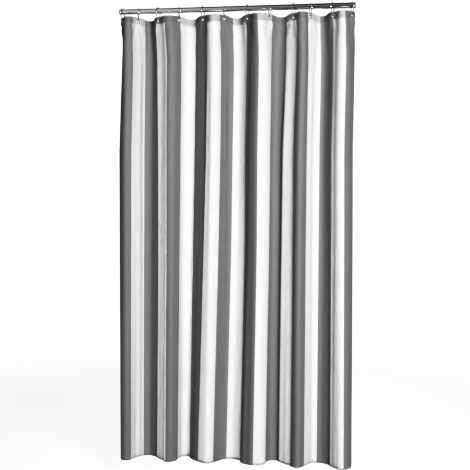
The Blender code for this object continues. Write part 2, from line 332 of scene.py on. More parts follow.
def eased(value):
    """A smooth step from 0 to 1."""
    value = np.clip(value, 0.0, 1.0)
    return value * value * (3 - 2 * value)


def ring_places():
    """Where each ring hangs along the rod."""
    boxes = [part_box(f"ring_{number:02d}") for number in range(1, RING_COUNT + 1)]
    return np.array([(low.x + high.x) / 2 for low, high in boxes])


def fold_angles(peak, start, end, lean, side, along):
    """The cloth's direction to the rod along a fold, from one ring (0) to the next (1)."""
    mean = (start + end) / 2
    uneven = (start - end) / 2
    angle = peak * np.cos(math.pi * along) + (mean - peak) * np.cos(3 * math.pi * along)
    return side * (angle + uneven * np.cos(2 * math.pi * along)) + lean * np.sin(math.pi * along)


def solve_folds(spans, start, end, side, pitch, along):
    """The peak angle and lean of each fold, whose cloth is one pitch long and whose span is given."""
    low = np.zeros_like(spans)
    high = np.full_like(spans, math.radians(120))
    bulge = np.sin(math.pi * along)
    for _ in range(24):
        peak = (low + high) / 2
        lean = np.zeros_like(spans)
        for _ in range(8):
            angles = fold_angles(peak, start, end, lean, side, along)
            rate = np.maximum(np.mean(np.cos(angles) * bulge, axis=2, keepdims=True), 0.15)
            lean = np.clip(lean - np.mean(np.sin(angles), axis=2, keepdims=True) / rate, -0.6, 0.6)
        angles = fold_angles(peak, start, end, lean, side, along)
        wide = pitch * np.mean(np.cos(angles), axis=2, keepdims=True) > spans
        low = np.where(wide, peak, low)
        high = np.where(wide, high, peak)
    return peak, lean


class Hang:
    """The whole cloth as a surface: a point for each arc length across and depth below the top."""

    def __init__(self, sizes):
        self.sizes = sizes
        self.places = ring_places()
        self.pitch = (sizes.flat_width - 2 * sizes.first_eyelet) / (RING_COUNT - 1)
        self.eyelets = sizes.first_eyelet + self.pitch * np.arange(RING_COUNT)
        eyelet_low, eyelet_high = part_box("eyelet_01")
        self.eyelet_z = (eyelet_low.z + eyelet_high.z) / 2
        self.top = self.eyelet_z + sizes.eyelet_below_top
        self.length = self.top - PANEL_LOW.z - sizes.thickness / 2
        self.along = (np.arange(FOLD_SAMPLES) + 0.5) / FOLD_SAMPLES
        self.side = np.where(np.arange(RING_COUNT - 1) % 2 == 0, -1.0, 1.0)[None, :, None]
        self.levels = np.linspace(0.0, 1.0, LEVELS)
        spans, slopes = self.level_lists()
        self.slopes = slopes
        self.peaks, self.leans = solve_folds(
            spans[:, :, None], slopes[:, :-1, None], slopes[:, 1:, None], self.side,
            self.pitch, self.along[None, None, :],
        )

    def level_lists(self):
        """Spans and slopes at every level, eased from one given height to the next."""
        header = np.diff(self.places)
        below = header + (np.array(UPPER_SPANS) - header) / 3
        spans = np.array((header, below, UPPER_SPANS, MIDDLE_SPANS, HEM_SPANS))
        slopes = np.radians((RING_SLOPES, BODY_SLOPES, BODY_SLOPES, BODY_SLOPES, HEM_SLOPES))
        return [
            np.stack([np.interp(self.levels, GIVEN_LEVELS, column) for column in table.T], axis=1)
            for table in (spans, slopes)
        ]

    def plan_rows(self, depths, across):
        """Plan place and unit step to the back, at each depth (rows) and arc length (columns)."""
        share = np.clip(np.asarray(depths, float) / self.length, 0.0, 1.0)
        at = [
            np.stack([np.interp(share, self.levels, column) for column in table.T], axis=1)
            for table in (self.slopes, self.peaks[:, :, 0], self.leans[:, :, 0])
        ]
        slopes, peaks, leans = at
        angles = fold_angles(
            peaks[:, :, None], slopes[:, :-1, None], slopes[:, 1:, None], leans[:, :, None],
            self.side, self.along[None, None, :],
        ).reshape(len(share), -1)
        step = self.pitch / FOLD_SAMPLES
        inset = self.sizes.first_eyelet
        last_side = 1 if RING_COUNT % 2 == 0 else -1
        first, last = -slopes[:, 0], last_side * slopes[:, -1]
        lengths = np.concatenate([[0.0], inset + step * np.arange(angles.shape[1] + 1), [0.0]])
        lengths[-1] = self.sizes.flat_width
        places = np.zeros((len(share), len(across), 2))
        for row in range(len(share)):
            heading = np.concatenate([[first[row]], angles[row], [last[row]]])
            run = np.concatenate([[inset], np.full(angles.shape[1], step), [inset]])
            shift = np.interp(share[row], GIVEN_LEVELS, LEFT_SHIFTS)
            for axis, turn in enumerate((np.cos, np.sin)):
                line = np.concatenate([[0.0], np.cumsum(turn(heading) * run)])
                line += (self.places[0] + shift if axis == 0 else 0.0) - line[1]
                places[row, :, axis] = np.interp(across, lengths, line)
        return places

    def clamped(self, places, depths, across):
        """Flattens the cloth where an eyelet clamps it, and lets it go gradually lower down."""
        low = self.sizes.header_height
        hold = 1.0 - eased((np.asarray(depths) - low) / 0.06)
        headings = self.headings()
        for ring, centre in enumerate(self.eyelets):
            away = across - centre
            near = np.abs(away) < CLAMPED_FADE
            if not near.any():
                continue
            weight = 1.0 - eased((np.abs(away[near]) - CLAMPED_HALF) / (CLAMPED_FADE - CLAMPED_HALF))
            heading = headings[ring]
            line = np.array([math.cos(heading), math.sin(heading)])
            flat = np.array([self.places[ring], 0.0]) + away[near][:, None] * line
            share = (hold[:, None] * weight[None, :])[:, :, None]
            places[:, near] += (flat[None] - places[:, near]) * share
        return places

    def headings(self):
        """The direction of the clamped cloth at each ring."""
        side = np.where(np.arange(RING_COUNT) % 2 == 0, -1.0, 1.0)
        return side * np.radians(RING_SLOPES)

    def sag(self, across):
        """How far the top edge dips between the rings."""
        along = (across - self.sizes.first_eyelet) / self.pitch
        depth = np.where(np.floor(along).astype(int) % 2 == 0, 0.004, 0.009)
        inside = (along > 0) & (along < RING_COUNT - 1)
        return np.where(inside, depth * np.sin(math.pi * along) ** 2, 0.0)

    def creases(self, depths, across):
        """Creases that fan down from each eyelet, and shallow waves along the folds."""
        deep, wide = np.meshgrid(np.asarray(depths, float), across, indexing="ij")
        lift = np.zeros_like(deep)
        for ring, centre in enumerate(self.eyelets):
            down = deep - self.sizes.eyelet_below_top
            sideways = wide - centre
            radius = np.hypot(down, sideways)
            fade = eased((radius - 0.010) / 0.022) * np.exp(-radius / 0.085)
            for index, turn in enumerate((-72, -48, -26, -7, 14, 36, 61)):
                spread = math.radians(turn + 7 * math.sin(2.3 * ring + 1.7 * index))
                axis_x, axis_y = math.sin(spread), math.cos(spread)
                off = sideways * axis_y - down * axis_x
                ahead = sideways * axis_x + down * axis_y
                width = 0.0045 + 0.11 * np.maximum(ahead, 0.0)
                height = 0.0062 * (0.6 + 0.4 * math.sin(1.9 * ring + 2.9 * index))
                sign = 1 if (index + ring) % 2 else -1
                lift += sign * height * fade * np.exp(-((off / width) ** 2)) * (ahead > 0)
        share = deep / self.length
        free = eased((deep - 0.05) / 0.35)
        for index, (wave, height) in enumerate(((0.071, 0.0016), (0.043, 0.0010), (0.127, 0.0022))):
            phase = 2.1 * index + 1.3 * np.sin(2.2 * share + 1.1 * index + 9.0 * wide)
            lift += height * free * np.sin(2 * math.pi * wide / wave + phase)
        return lift

    def points(self, depths, across, offsets, heights=None):
        """Points of the cloth: rows at the given depths, stepped to the back by the offsets."""
        depths = np.asarray(depths, float)
        across = np.asarray(across, float)
        offsets = np.asarray(offsets, float)
        small = 0.0005
        places = self.clamped(self.plan_rows(depths, across), depths, across)
        ahead = self.clamped(self.plan_rows(depths, across + small), depths, across + small)
        behind = self.clamped(self.plan_rows(depths, across - small), depths, across - small)
        runs = ahead - behind
        runs /= np.maximum(np.linalg.norm(runs, axis=2, keepdims=True), 1e-9)
        back = np.stack([-runs[:, :, 1], runs[:, :, 0]], axis=2)
        lift = self.creases(depths, across) + offsets.reshape(len(depths), -1)
        flat = places + back * lift[:, :, None]
        level = depths if heights is None else np.asarray(heights, float)
        fade = 1.0 - eased(depths / self.length)
        z = self.top - level[:, None] - self.sag(across)[None, :] * fade[:, None]
        return np.concatenate([flat, z[:, :, None]], axis=2)


def grid_columns(hang):
    """Arc lengths of the grid's columns, and the column at each eyelet's centre."""
    reach = HOLE_CELL * HOLE_CELLS
    fine = np.arange(-HOLE_CELLS, HOLE_CELLS + 1) * HOLE_CELL
    columns = [0.0, (hang.eyelets[0] - reach) / 2]
    centres = []
    for ring, centre in enumerate(hang.eyelets):
        centres.append(len(columns) + HOLE_CELLS)
        columns += list(centre + fine)
        if ring < RING_COUNT - 1:
            gap = hang.pitch - 2 * reach
            columns += [centre + reach + gap * n / FOLD_CELLS for n in range(1, FOLD_CELLS)]
    columns += [(hang.eyelets[-1] + reach + hang.sizes.flat_width) / 2, hang.sizes.flat_width]
    return np.array(columns), centres


def rounded_hole(points, cut, row, column, radius):
    """Moves the grid's points round an eyelet from squares to circles. cut is (across, down)."""
    reach = HOLE_CELL * HOLE_CELLS
    inner = HOLE_CELL * HOLE_CUT_CELLS
    rows = slice(row - HOLE_CELLS, row + HOLE_CELLS + 1)
    cols = slice(column - HOLE_CELLS, column + HOLE_CELLS + 1)
    local = cut[rows, cols] - cut[row, column]
    square = np.abs(local).max(axis=2)
    circle = np.maximum(np.linalg.norm(local, axis=2), 1e-9)
    share = np.clip((reach - square) / (reach - inner), 0.0, 1.0)
    wanted = (square / inner * radius) / circle
    scale = 1.0 + share * (wanted - 1.0)
    local_points = points[rows, cols] - points[row, column]
    points[rows, cols] = points[row, column] + local_points * scale[:, :, None]
    cut[rows, cols] = cut[row, column] + local * scale[:, :, None]


def cloth_grid(name, points, cut, holes, thickness):
    """A sheet over a grid of points, with its eyelet holes, its cut places as UVs and its thickness."""
    rows, columns = points.shape[:2]
    bm = bmesh.new()
    bmesh.ops.create_grid(bm, x_segments=columns - 1, y_segments=rows - 1, size=1.0)
    bm.verts.ensure_lookup_table()
    flat = points.reshape(-1, 3)
    for index, vert in enumerate(bm.verts):
        vert.co = flat[index]
    place = cut.reshape(-1, 2)
    layer = bm.loops.layers.uv.new("Cut")
    for face in bm.faces:
        for loop in face.loops:
            loop[layer].uv = place[loop.vert.index]
    gone = set()
    for row, column in holes:
        span = range(-HOLE_CUT_CELLS + 1, HOLE_CUT_CELLS)
        gone.update((row + down) * columns + column + across for down in span for across in span)
    inside = [bm.verts[index] for index in gone]
    bmesh.ops.delete(bm, geom=inside, context="VERTS")
    item = object_from(bm, name, sharp=math.radians(75))
    thicken = item.modifiers.new("thickness", "SOLIDIFY")
    thicken.thickness = thickness
    thicken.offset = 0.0
    thicken.use_even_offset = True
    return item


def settle(item):
    """Applies a piece's modifiers, so that its finished mesh is what rides and flattens."""
    bpy.context.view_layer.update()
    finished = item.evaluated_get(bpy.context.evaluated_depsgraph_get())
    mesh = bpy.data.meshes.new_from_object(finished)
    mesh.name = item.name
    item.modifiers.clear()
    item.data = mesh
    return item


def draw_up(item):
    """Gives the piece a mesh of its own."""
    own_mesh(item)


# ---------------------------------------------------------------------------------------------
# Materials


def woven_polyester(sizes, doubled):
    """Yarn-dyed polyester satin, woven: soft light on the folds, and a little light through it."""
    material, tree = new_material("woven polyester")
    if tree is None:
        return material
    place = add_node(tree, "ShaderNodeUVMap", uv_map="Cut")
    split = add_node(tree, "ShaderNodeSeparateXYZ", {0: place.outputs[0]})
    # Stripes: one on, one off, after the wider first one
    from_first = add_node(
        tree, "ShaderNodeMath", {0: split.outputs[0], 1: sizes.first_stripe}, operation="SUBTRACT",
    )
    counted = add_node(
        tree, "ShaderNodeMath", {0: from_first.outputs[0], 1: sizes.stripe_width},
        operation="DIVIDE",
    )
    held = add_node(tree, "ShaderNodeMath", {0: counted.outputs[0], 1: -0.5}, operation="MAXIMUM")
    shifted = add_node(tree, "ShaderNodeMath", {0: held.outputs[0], 1: 0.5}, operation="ADD")
    folded = add_node(tree, "ShaderNodeMath", {0: shifted.outputs[0], 1: 1.0}, operation="PINGPONG")
    edge = 0.0003 / sizes.stripe_width
    stripe = add_node(
        tree, "ShaderNodeMapRange", {0: folded.outputs[0], 1: 0.5 - edge, 2: 0.5 + edge},
    )
    # Slubs: faint streaks of uneven yarn, 4 mm by 90 mm
    streaks = add_node(
        tree, "ShaderNodeMapping", {"Vector": place.outputs[0], "Scale": (250.0, 11.0, 1.0)},
    )
    slub = add_node(
        tree, "ShaderNodeTexNoise", {"Vector": streaks.outputs[0], "Scale": 1.0, "Detail": 2.0},
    )
    slub_shade = add_node(
        tree, "ShaderNodeMapRange", {0: slub.outputs[0], 1: 0.3, 2: 0.7, 3: 0.965, 4: 1.03},
    )
    dye = add_node(
        tree, "ShaderNodeMix",
        {"Factor": stripe.outputs[0], 6: linear(sizes.grey), 7: linear(sizes.white)},
        data_type="RGBA",
    )
    shaded = add_node(
        tree, "ShaderNodeVectorMath", {0: dye.outputs[2], 1: slub_shade.outputs[0]},
        operation="MULTIPLY",
    )
    # The header and the hem are doubled, so less light comes through them: their colour is darkened there as
    # painted shade
    header = add_node(
        tree, "ShaderNodeMath", {0: split.outputs[1], 1: doubled[0]}, operation="LESS_THAN",
    )
    hem = add_node(
        tree, "ShaderNodeMath", {0: split.outputs[1], 1: doubled[1]}, operation="GREATER_THAN",
    )
    layered = add_node(
        tree, "ShaderNodeMath", {0: header.outputs[0], 1: hem.outputs[0]}, operation="ADD",
    )
    # Painted shade: the colour is darkened where the cloth lies double
    painted_doubled_shade = add_node(tree, "ShaderNodeMapRange", {0: layered.outputs[0], 3: 1.0, 4: DOUBLED_PAINTED_SHADE})
    dyed_with_painted_shade = add_node(
        tree, "ShaderNodeVectorMath", {0: shaded.outputs[0], 1: painted_doubled_shade.outputs[0]},
        operation="MULTIPLY",
    )
    # The weave: 0.3 mm threads, drawn at 1.2 mm so that they show at all
    threads = add_node(
        tree, "ShaderNodeMapping", {"Vector": place.outputs[0], "Scale": (833.0, 833.0, 1.0)},
    )
    weave = add_node(
        tree, "ShaderNodeTexChecker", {"Vector": threads.outputs[0], "Scale": 1.0},
    )
    height = add_node(
        tree, "ShaderNodeMath", {0: weave.outputs[1], 1: slub.outputs[0]}, operation="ADD",
    )
    bump = add_node(
        tree, "ShaderNodeBump", {"Height": height.outputs[0], "Strength": 0.08, "Distance": 0.0002},
    )
    shader = add_node(
        tree, "ShaderNodeBsdfPrincipled",
        {
            "Base Color": dyed_with_painted_shade.outputs[0], "Roughness": 0.62, "Sheen Weight": 0.25,
            "Sheen Roughness": 0.4, "Specular IOR Level": 0.35, "Normal": bump.outputs[0],
        },
    )
    # Light that comes through the cloth passes more dye than light that it reflects
    through = add_node(tree, "ShaderNodeGamma", {0: dyed_with_painted_shade.outputs[0], 1: 2.6})
    glow = add_node(tree, "ShaderNodeBsdfTranslucent", {"Color": through.outputs[0]})
    both = add_node(
        tree, "ShaderNodeMixShader", {0: 0.60, 1: shader.outputs[0], 2: glow.outputs[0]},
    )
    add_node(tree, "ShaderNodeOutputMaterial", {"Surface": both.outputs[0]})
    return material


def plain_finish(name, code, roughness, metallic=0.0, grain=0.0, grain_size=0.001):
    """A one-colour finish, with a fine grain in its colour, gloss and relief."""
    material, tree = new_material(name)
    if tree is None:
        return material
    place = add_node(tree, "ShaderNodeTexCoord")
    noise = add_node(
        tree, "ShaderNodeTexNoise",
        {"Vector": place.outputs["Object"], "Scale": 1.0 / grain_size, "Detail": 3.0},
    )
    gloss = add_node(
        tree, "ShaderNodeMapRange",
        {0: noise.outputs[0], 1: 0.3, 2: 0.7, 3: roughness * (1 - grain), 4: roughness * (1 + grain)},
    )
    colour = linear(code)
    darker = tuple(c * (1 - 0.25 * grain) for c in colour[:3]) + (1.0,)
    tint = add_node(
        tree, "ShaderNodeMix", {"Factor": noise.outputs[0], 6: darker, 7: colour}, data_type="RGBA",
    )
    bump = add_node(
        tree, "ShaderNodeBump",
        {"Height": noise.outputs[0], "Strength": 0.3 * grain, "Distance": grain_size * 0.2},
    )
    shader = add_node(
        tree, "ShaderNodeBsdfPrincipled",
        {
            "Base Color": tint.outputs[2], "Roughness": gloss.outputs[0], "Metallic": metallic,
            "Normal": bump.outputs[0],
        },
    )
    add_node(tree, "ShaderNodeOutputMaterial", {"Surface": shader.outputs[0]})
    return material


def rod_chrome(sizes):
    """Bright chrome plating on drawn steel tube: a mirror with the faintest haze."""
    return plain_finish("chrome plated steel tube", sizes.chrome, 0.07, 1.0, 0.25, 0.004)


def ring_chrome(sizes):
    """Chrome plating on spring wire: a mirror, slightly softened by the drawn wire."""
    return plain_finish("chrome plated spring wire", sizes.chrome, 0.12, 1.0, 0.3, 0.002)


def eyelet_plating():
    """Nickel plating on pressed brass: satin, warm grey."""
    return plain_finish("nickel plated brass", "A3A19D", 0.30, 1.0, 0.3, 0.001)


def end_rubber():
    """Moulded grey rubber: matt, with a fine moulding grain."""
    return plain_finish("moulded rubber", "8A8A88", 0.75, 0.0, 0.5, 0.0008)


def tape_webbing():
    """Stiff polyester tape: white, matt."""
    return plain_finish("polyester header tape", "E6E6E2", 0.85, 0.0, 0.4, 0.0008)


def cord_braid():
    """Braided polyester cord: white, matt."""
    return plain_finish("braided polyester cord", "E6E6E2", 0.85, 0.0, 0.5, 0.0008)


def sewing_thread():
    """Spun polyester sewing thread: off-white, with a soft shine."""
    return plain_finish("polyester sewing thread", "DAD9D5", 0.55, 0.0, 0.3, 0.0005)


def pale_floor():
    """Matt white paint that fades into the white studio, so that no horizon shows."""
    material, tree = new_material("matt white floor paint")
    if tree is None:
        return material
    place = add_node(tree, "ShaderNodeTexCoord")
    away = add_node(tree, "ShaderNodeVectorMath", {0: place.outputs["Object"]}, operation="LENGTH")
    far = add_node(
        tree, "ShaderNodeMapRange", {0: away.outputs["Value"], 1: 1.4, 2: 5.0},
        interpolation_type="SMOOTHSTEP",
    )
    paint = add_node(
        tree, "ShaderNodeBsdfPrincipled",
        {
            "Base Color": linear("A8A8A7"), "Roughness": 0.9,
            "Emission Color": (1.0, 1.0, 1.0, 1.0), "Emission Strength": 0.56,
        },
    )
    white = add_node(tree, "ShaderNodeEmission", {"Color": (1.0, 1.0, 1.0, 1.0), "Strength": 1.0})
    both = add_node(
        tree, "ShaderNodeMixShader", {0: far.outputs[0], 1: paint.outputs[0], 2: white.outputs[0]},
    )
    add_node(tree, "ShaderNodeOutputMaterial", {"Surface": both.outputs[0]})
    return material


# ---------------------------------------------------------------------------------------------
# Operators


class CURTAIN_OT_rod(bpy.types.Operator):
    """Adds the rod's tube and the plugs in its ends"""

    bl_idname = "curtain.add_rod"
    bl_label = "Rod"

    def execute(self, context):
        sizes = context.scene.curtain_metal
        along = Matrix.Rotation(math.pi / 2, 4, "Y")
        length = ROD_HIGH.x - ROD_LOW.x
        inner = ROD_RADIUS - sizes.rod_wall
        ease = 0.0003
        profile = [
            (ROD_RADIUS - ease, length), (ROD_RADIUS, length - ease),
            (ROD_RADIUS, ease), (ROD_RADIUS - ease, 0.0), (inner, 0.0), (inner, length),
        ]
        bm = turned(profile, 96, Matrix.Translation((ROD_LOW.x, 0, 0)) @ along)
        tube = object_from(bm, "chromed_tube")
        finish_piece(tube, rod_chrome(sizes), "rod", ["rod_tube"])
        for side, turn in (("left", -1), ("right", 1)):
            self.plug(side, turn, inner)
        return {"FINISHED"}

    def plug(self, side, turn, inner):
        """A rubber plug: a rounded lip on the end, and a ribbed spigot in the tube."""
        low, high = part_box(f"end_plug_{side}")
        spigot = inner - 0.0007
        lip = min(abs(low.x - ROD_LOW.x), abs(high.x - ROD_HIGH.x)) - 0.0003
        deep = high.x - low.x
        edge = 0.0008
        profile = [(0.0, 0.0), (0.006, 0.0), (0.0066, -0.0005), (0.0072, 0.0)]
        for step in range(5):
            angle = math.pi / 2 * (1 - step / 4)
            profile.append((ROD_RADIUS - edge + edge * math.cos(angle), edge * (math.sin(angle) - 1)))
        profile += [(ROD_RADIUS, -lip), (spigot, -lip)]
        for rib in range(3):
            start = -lip - 0.002 - 0.005 * rib
            profile += [(spigot, start), (spigot + 0.0005, start - 0.001), (spigot, start - 0.002)]
        profile += [(spigot - 0.001, -deep), (0.0, -deep)]
        face = low.x if turn < 0 else high.x
        place = Matrix.Translation((face, 0, 0)) @ Matrix.Rotation(turn * math.pi / 2, 4, "Y")
        bm = turned(profile, 64, place)
        plug = object_from(bm, f"rubber_plug_{side}")
        finish_piece(plug, end_rubber(), "rod", [f"end_plug_{side}"])


class CURTAIN_OT_rings(bpy.types.Operator):
    """Adds the twelve pear-shaped wire rings"""

    bl_idname = "curtain.add_rings"
    bl_label = "Rings"

    def execute(self, context):
        sizes = context.scene.curtain_metal
        for number, place in enumerate(ring_places(), 1):
            self.ring(number, place, sizes)
        return {"FINISHED"}

    def ring(self, number, place, sizes):
        """One closed loop of wire: a wide bow at the top joined to a narrow bow at the bottom."""
        low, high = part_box(f"ring_{number:02d}")
        radius = sizes.wire_diameter / 2
        top_radius = sizes.ring_width / 2 - radius
        top_centre = high.z - radius - top_radius
        bottom_radius = sizes.ring_bottom_radius
        bottom_centre = low.z + radius + bottom_radius
        slant = math.asin((top_radius - bottom_radius) / (top_centre - bottom_centre))
        path = []
        for centre, reach, start, turn, steps in (
            (top_centre, top_radius, -slant, math.pi + 2 * slant, 56),
            (bottom_centre, bottom_radius, math.pi + slant, math.pi - 2 * slant, 30),
        ):
            for step in range(steps + 1):
                angle = start + turn * step / steps
                path.append((0.0, reach * math.cos(angle), centre + reach * math.sin(angle)))
        yaw = math.radians(-14 if number % 2 else 22)
        bm = wire(f"ring_wire_{number:02d}", [path], radius, 14, True)
        place = Matrix.Translation((float(place), 0, 0)) @ Matrix.Rotation(yaw, 4, "Z")
        bmesh.ops.transform(bm, matrix=place, verts=bm.verts)
        ring = object_from(bm, f"ring_wire_{number:02d}")
        body = "curtain" if number == 1 else f"hanger_{number:02d}"
        finish_piece(ring, ring_chrome(sizes), body, [f"ring_{number:02d}"])


class CURTAIN_OT_eyelets(bpy.types.Operator):
    """Adds the eyelets and the washers behind them"""

    bl_idname = "curtain.add_eyelets"
    bl_label = "Eyelets"

    def execute(self, context):
        metal = context.scene.curtain_metal
        hang = Hang(context.scene.curtain_cloth)
        half = hang.sizes.layer_offset + hang.sizes.thickness / 2
        for number, heading in enumerate(hang.headings(), 1):
            low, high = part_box(f"eyelet_{number:02d}")
            centre = (low + high) / 2
            front = Vector((math.sin(heading), -math.cos(heading), 0.0))
            turn = front.to_track_quat("Z", "Y").to_matrix().to_4x4()
            turn.translation = (centre.x, 0.0, centre.z)
            body = "curtain" if number == 1 else f"hanger_{number:02d}"
            for kind, outline in (("eyelet", self.eyelet(metal, half)), ("washer", self.washer(metal, half))):
                bm = turned(outline, 48, turn)
                item = object_from(bm, f"{kind}_ring_{number:02d}", sharp=math.radians(50))
                finish_piece(item, eyelet_plating(), body, [f"{kind}_{number:02d}"])
        return {"FINISHED"}

    def eyelet(self, metal, half):
        """The front flange, domed, running into the barrel, which is rolled over at the back."""
        hole, wall = metal.eyelet_radius, metal.eyelet_metal
        rim = hole + metal.flange_width
        gap = 0.0003
        face = half + gap
        dome = 0.0008
        back = -face - wall - gap
        outline = []
        for step in range(9):
            angle = math.pi * step / 8
            middle = (hole + rim) / 2
            outline.append((middle + (rim - hole) / 2 * math.cos(angle), face + dome * math.sin(angle)))
        outline += [(hole, 0.0), (hole, back - wall * 0.6)]
        outline += [(hole + 0.0003, back - wall), (hole + 0.0010, back - wall)]
        outline += [(hole + 0.0013, back - wall * 0.5), (hole + 0.0010, back), (hole + wall, back)]
        outline += [(hole + wall, face), (rim - 0.0002, face)]
        return outline

    def washer(self, metal, half):
        """A flat ring of sheet metal with its edges rounded."""
        hole = metal.eyelet_radius + metal.eyelet_metal + 0.0004
        rim = metal.eyelet_radius + metal.flange_width
        face = -half - 0.0003
        wall, ease = metal.eyelet_metal, 0.00015
        return [
            (rim - ease, face), (rim, face - ease), (rim, face - wall + ease),
            (rim - ease, face - wall), (hole + ease, face - wall), (hole, face - wall + ease),
            (hole, face - ease), (hole + ease, face),
        ]


class CURTAIN_OT_cloth(bpy.types.Operator):
    """Adds the hung cloth with its header and hem, and what is sewn into them"""

    bl_idname = "curtain.add_cloth"
    bl_label = "Cloth"

    def execute(self, context):
        sizes = context.scene.curtain_cloth
        metal = context.scene.curtain_metal
        hang = Hang(sizes)
        cloth = self.panel(hang, metal)
        tape = self.tape(hang, metal)
        cord = self.cord(hang)
        side_hems = [self.side_hem(hang, side) for side in ("left", "right")]
        threads = self.stitching(hang)
        return {"FINISHED"}

    def rows(self, hang):
        """The grid's rows, as (depth, height below the top, offset to the back)."""
        sizes = hang.sizes
        front = -sizes.layer_offset
        header = sizes.header_height
        eye = sizes.eyelet_below_top
        fine = [eye + HOLE_CELL * n for n in range(-HOLE_CELLS, HOLE_CELLS + 1)]
        rows = [(header, header, front + 0.0005), (header - 0.002, header - 0.002, -front)]
        rows += [(depth, depth, -front) for depth in reversed([0.002, 0.005, *fine])]
        for angle in (45, 90, 135):
            turn = math.radians(angle)
            rise = sizes.layer_offset * math.sin(turn)
            rows.append((0.0, 0.0005 - rise, -front * math.cos(turn)))
        rows += [(depth, depth, front) for depth in [0.002, 0.005, *fine]]
        rows += [(header - 0.002, header - 0.002, front), (header, header, front)]
        hem = hang.length - sizes.hem_height
        for step in range(1, 66):
            share = step / 65
            depth = header + (hem - header) * (0.24 * share + 0.76 * share**2)
            rows.append((depth, depth, front))
        low = hang.length
        back = sizes.cord_diameter + 0.0006 + sizes.thickness - sizes.layer_offset
        middle, reach = (front + back) / 2, (back - front) / 2
        for share in (0.35, 0.7):
            rows.append((hem + sizes.hem_height * share,) * 2 + (front,))
        for angle in (180, 225, 270, 315, 360):
            turn = math.radians(angle)
            height = low - reach - reach * math.sin(turn)
            rows.append((low, height, middle + reach * math.cos(turn)))
        rows.append((low - 0.007, low - 0.007, (back + front) / 2))
        rows.append((hem + 0.001, hem + 0.001, front + 0.0005))
        return np.array(rows)

    def panel(self, hang, metal):
        """The cloth itself: one sheet, turned to the back at its top and its bottom."""
        sizes = hang.sizes
        columns, centres = grid_columns(hang)
        rows = self.rows(hang)
        points = hang.points(rows[:, 0], columns, rows[:, 2], rows[:, 1])
        runs = np.abs(np.diff(rows[:, 1], prepend=rows[0, 1])) + np.abs(np.diff(rows[:, 2], prepend=0))
        down = np.cumsum(runs)
        cut = np.stack(np.broadcast_arrays(columns[None, :], down[:, None]), axis=2).copy()
        eye = sizes.eyelet_below_top
        front_half = np.arange(len(rows)) > np.argmin(rows[:, 1])
        found = [
            int(np.argmin(np.abs(rows[:, 1] - eye) + (front_half != wanted)))
            for wanted in (False, True)
        ]
        holes = [(row, column) for row in found for column in centres]
        radius = metal.eyelet_radius + metal.eyelet_metal + 0.0007
        for row, column in holes:
            rounded_hole(points, cut, row, column, radius)
        item = cloth_grid("curtain_cloth", points, cut, holes, sizes.thickness)
        item = settle(item)
        header_end = down[np.argmax(front_half & (rows[:, 1] >= sizes.header_height))]
        doubled = (float(header_end), float(down[-1]) - 2 * sizes.hem_height)
        cloth = woven_polyester(sizes, doubled)
        finish_piece(item, cloth, "curtain", ["curtain_panel"])
        draw_up(item)
        return item

    def tape(self, hang, metal):
        """The stiff tape between the header's two layers."""
        sizes = hang.sizes
        columns, centres = grid_columns(hang)
        eye = sizes.eyelet_below_top
        fine = [eye + HOLE_CELL * n for n in range(-HOLE_CELLS, HOLE_CELLS + 1)]
        depths = np.array([0.002, 0.005, *fine, sizes.header_height - 0.0025])
        points = hang.points(depths, columns, np.zeros(len(depths)))
        cut = np.stack(np.broadcast_arrays(columns[None, :], depths[:, None]), axis=2).copy()
        holes = [(2 + HOLE_CELLS, column) for column in centres]
        radius = metal.eyelet_radius + metal.eyelet_metal + 0.0007
        for row, column in holes:
            rounded_hole(points, cut, row, column, radius)
        item = settle(cloth_grid("stiffening_tape", points, cut, holes, 0.0004))
        finish_piece(item, tape_webbing(), "curtain", ["header_tape"])
        draw_up(item)
        return item

    def side_hem(self, hang, side):
        """The cloth's side edge, turned to the back from the header down to the hem."""
        sizes = hang.sizes
        inward = np.array([0.0002, 0.0015, 0.0050, sizes.side_hem - 0.001, sizes.side_hem])
        columns = inward if side == "left" else (sizes.flat_width - inward)[::-1]
        share = np.linspace(0.0, 1.0, 60)
        top, bottom = sizes.header_height + 0.003, hang.length - sizes.hem_height - 0.003
        depths = top + (bottom - top) * (0.24 * share + 0.76 * share**2)
        behind = -sizes.layer_offset + sizes.thickness + 0.00015
        points = hang.points(depths, columns, np.full(len(depths), behind))
        start = 2 * sizes.header_height + 0.01
        cut = np.stack(np.broadcast_arrays(columns[None, :], start + depths[:, None]), axis=2).copy()
        item = settle(cloth_grid(f"side_hem_{side}", points, cut, [], sizes.thickness))
        finish_piece(item, bpy.data.materials["woven polyester"], "curtain")
        draw_up(item)
        return item

    def cord(self, hang):
        """The cord that weights the hem, lying in its fold."""
        sizes = hang.sizes
        columns, _ = grid_columns(hang)
        back = sizes.cord_diameter + 0.0006 + sizes.thickness - sizes.layer_offset
        offset = (back - sizes.layer_offset) / 2
        height = hang.length - sizes.thickness / 2 - 0.0003 - sizes.cord_diameter / 2
        path = hang.points([hang.length], columns, [offset], [height])[0]
        bm = wire("weight_cord", [path], sizes.cord_diameter / 2, 8, False)
        item = object_from(bm, "weight_cord")
        finish_piece(item, cord_braid(), "curtain", ["hem_weight_cord"])
        draw_up(item)
        return item

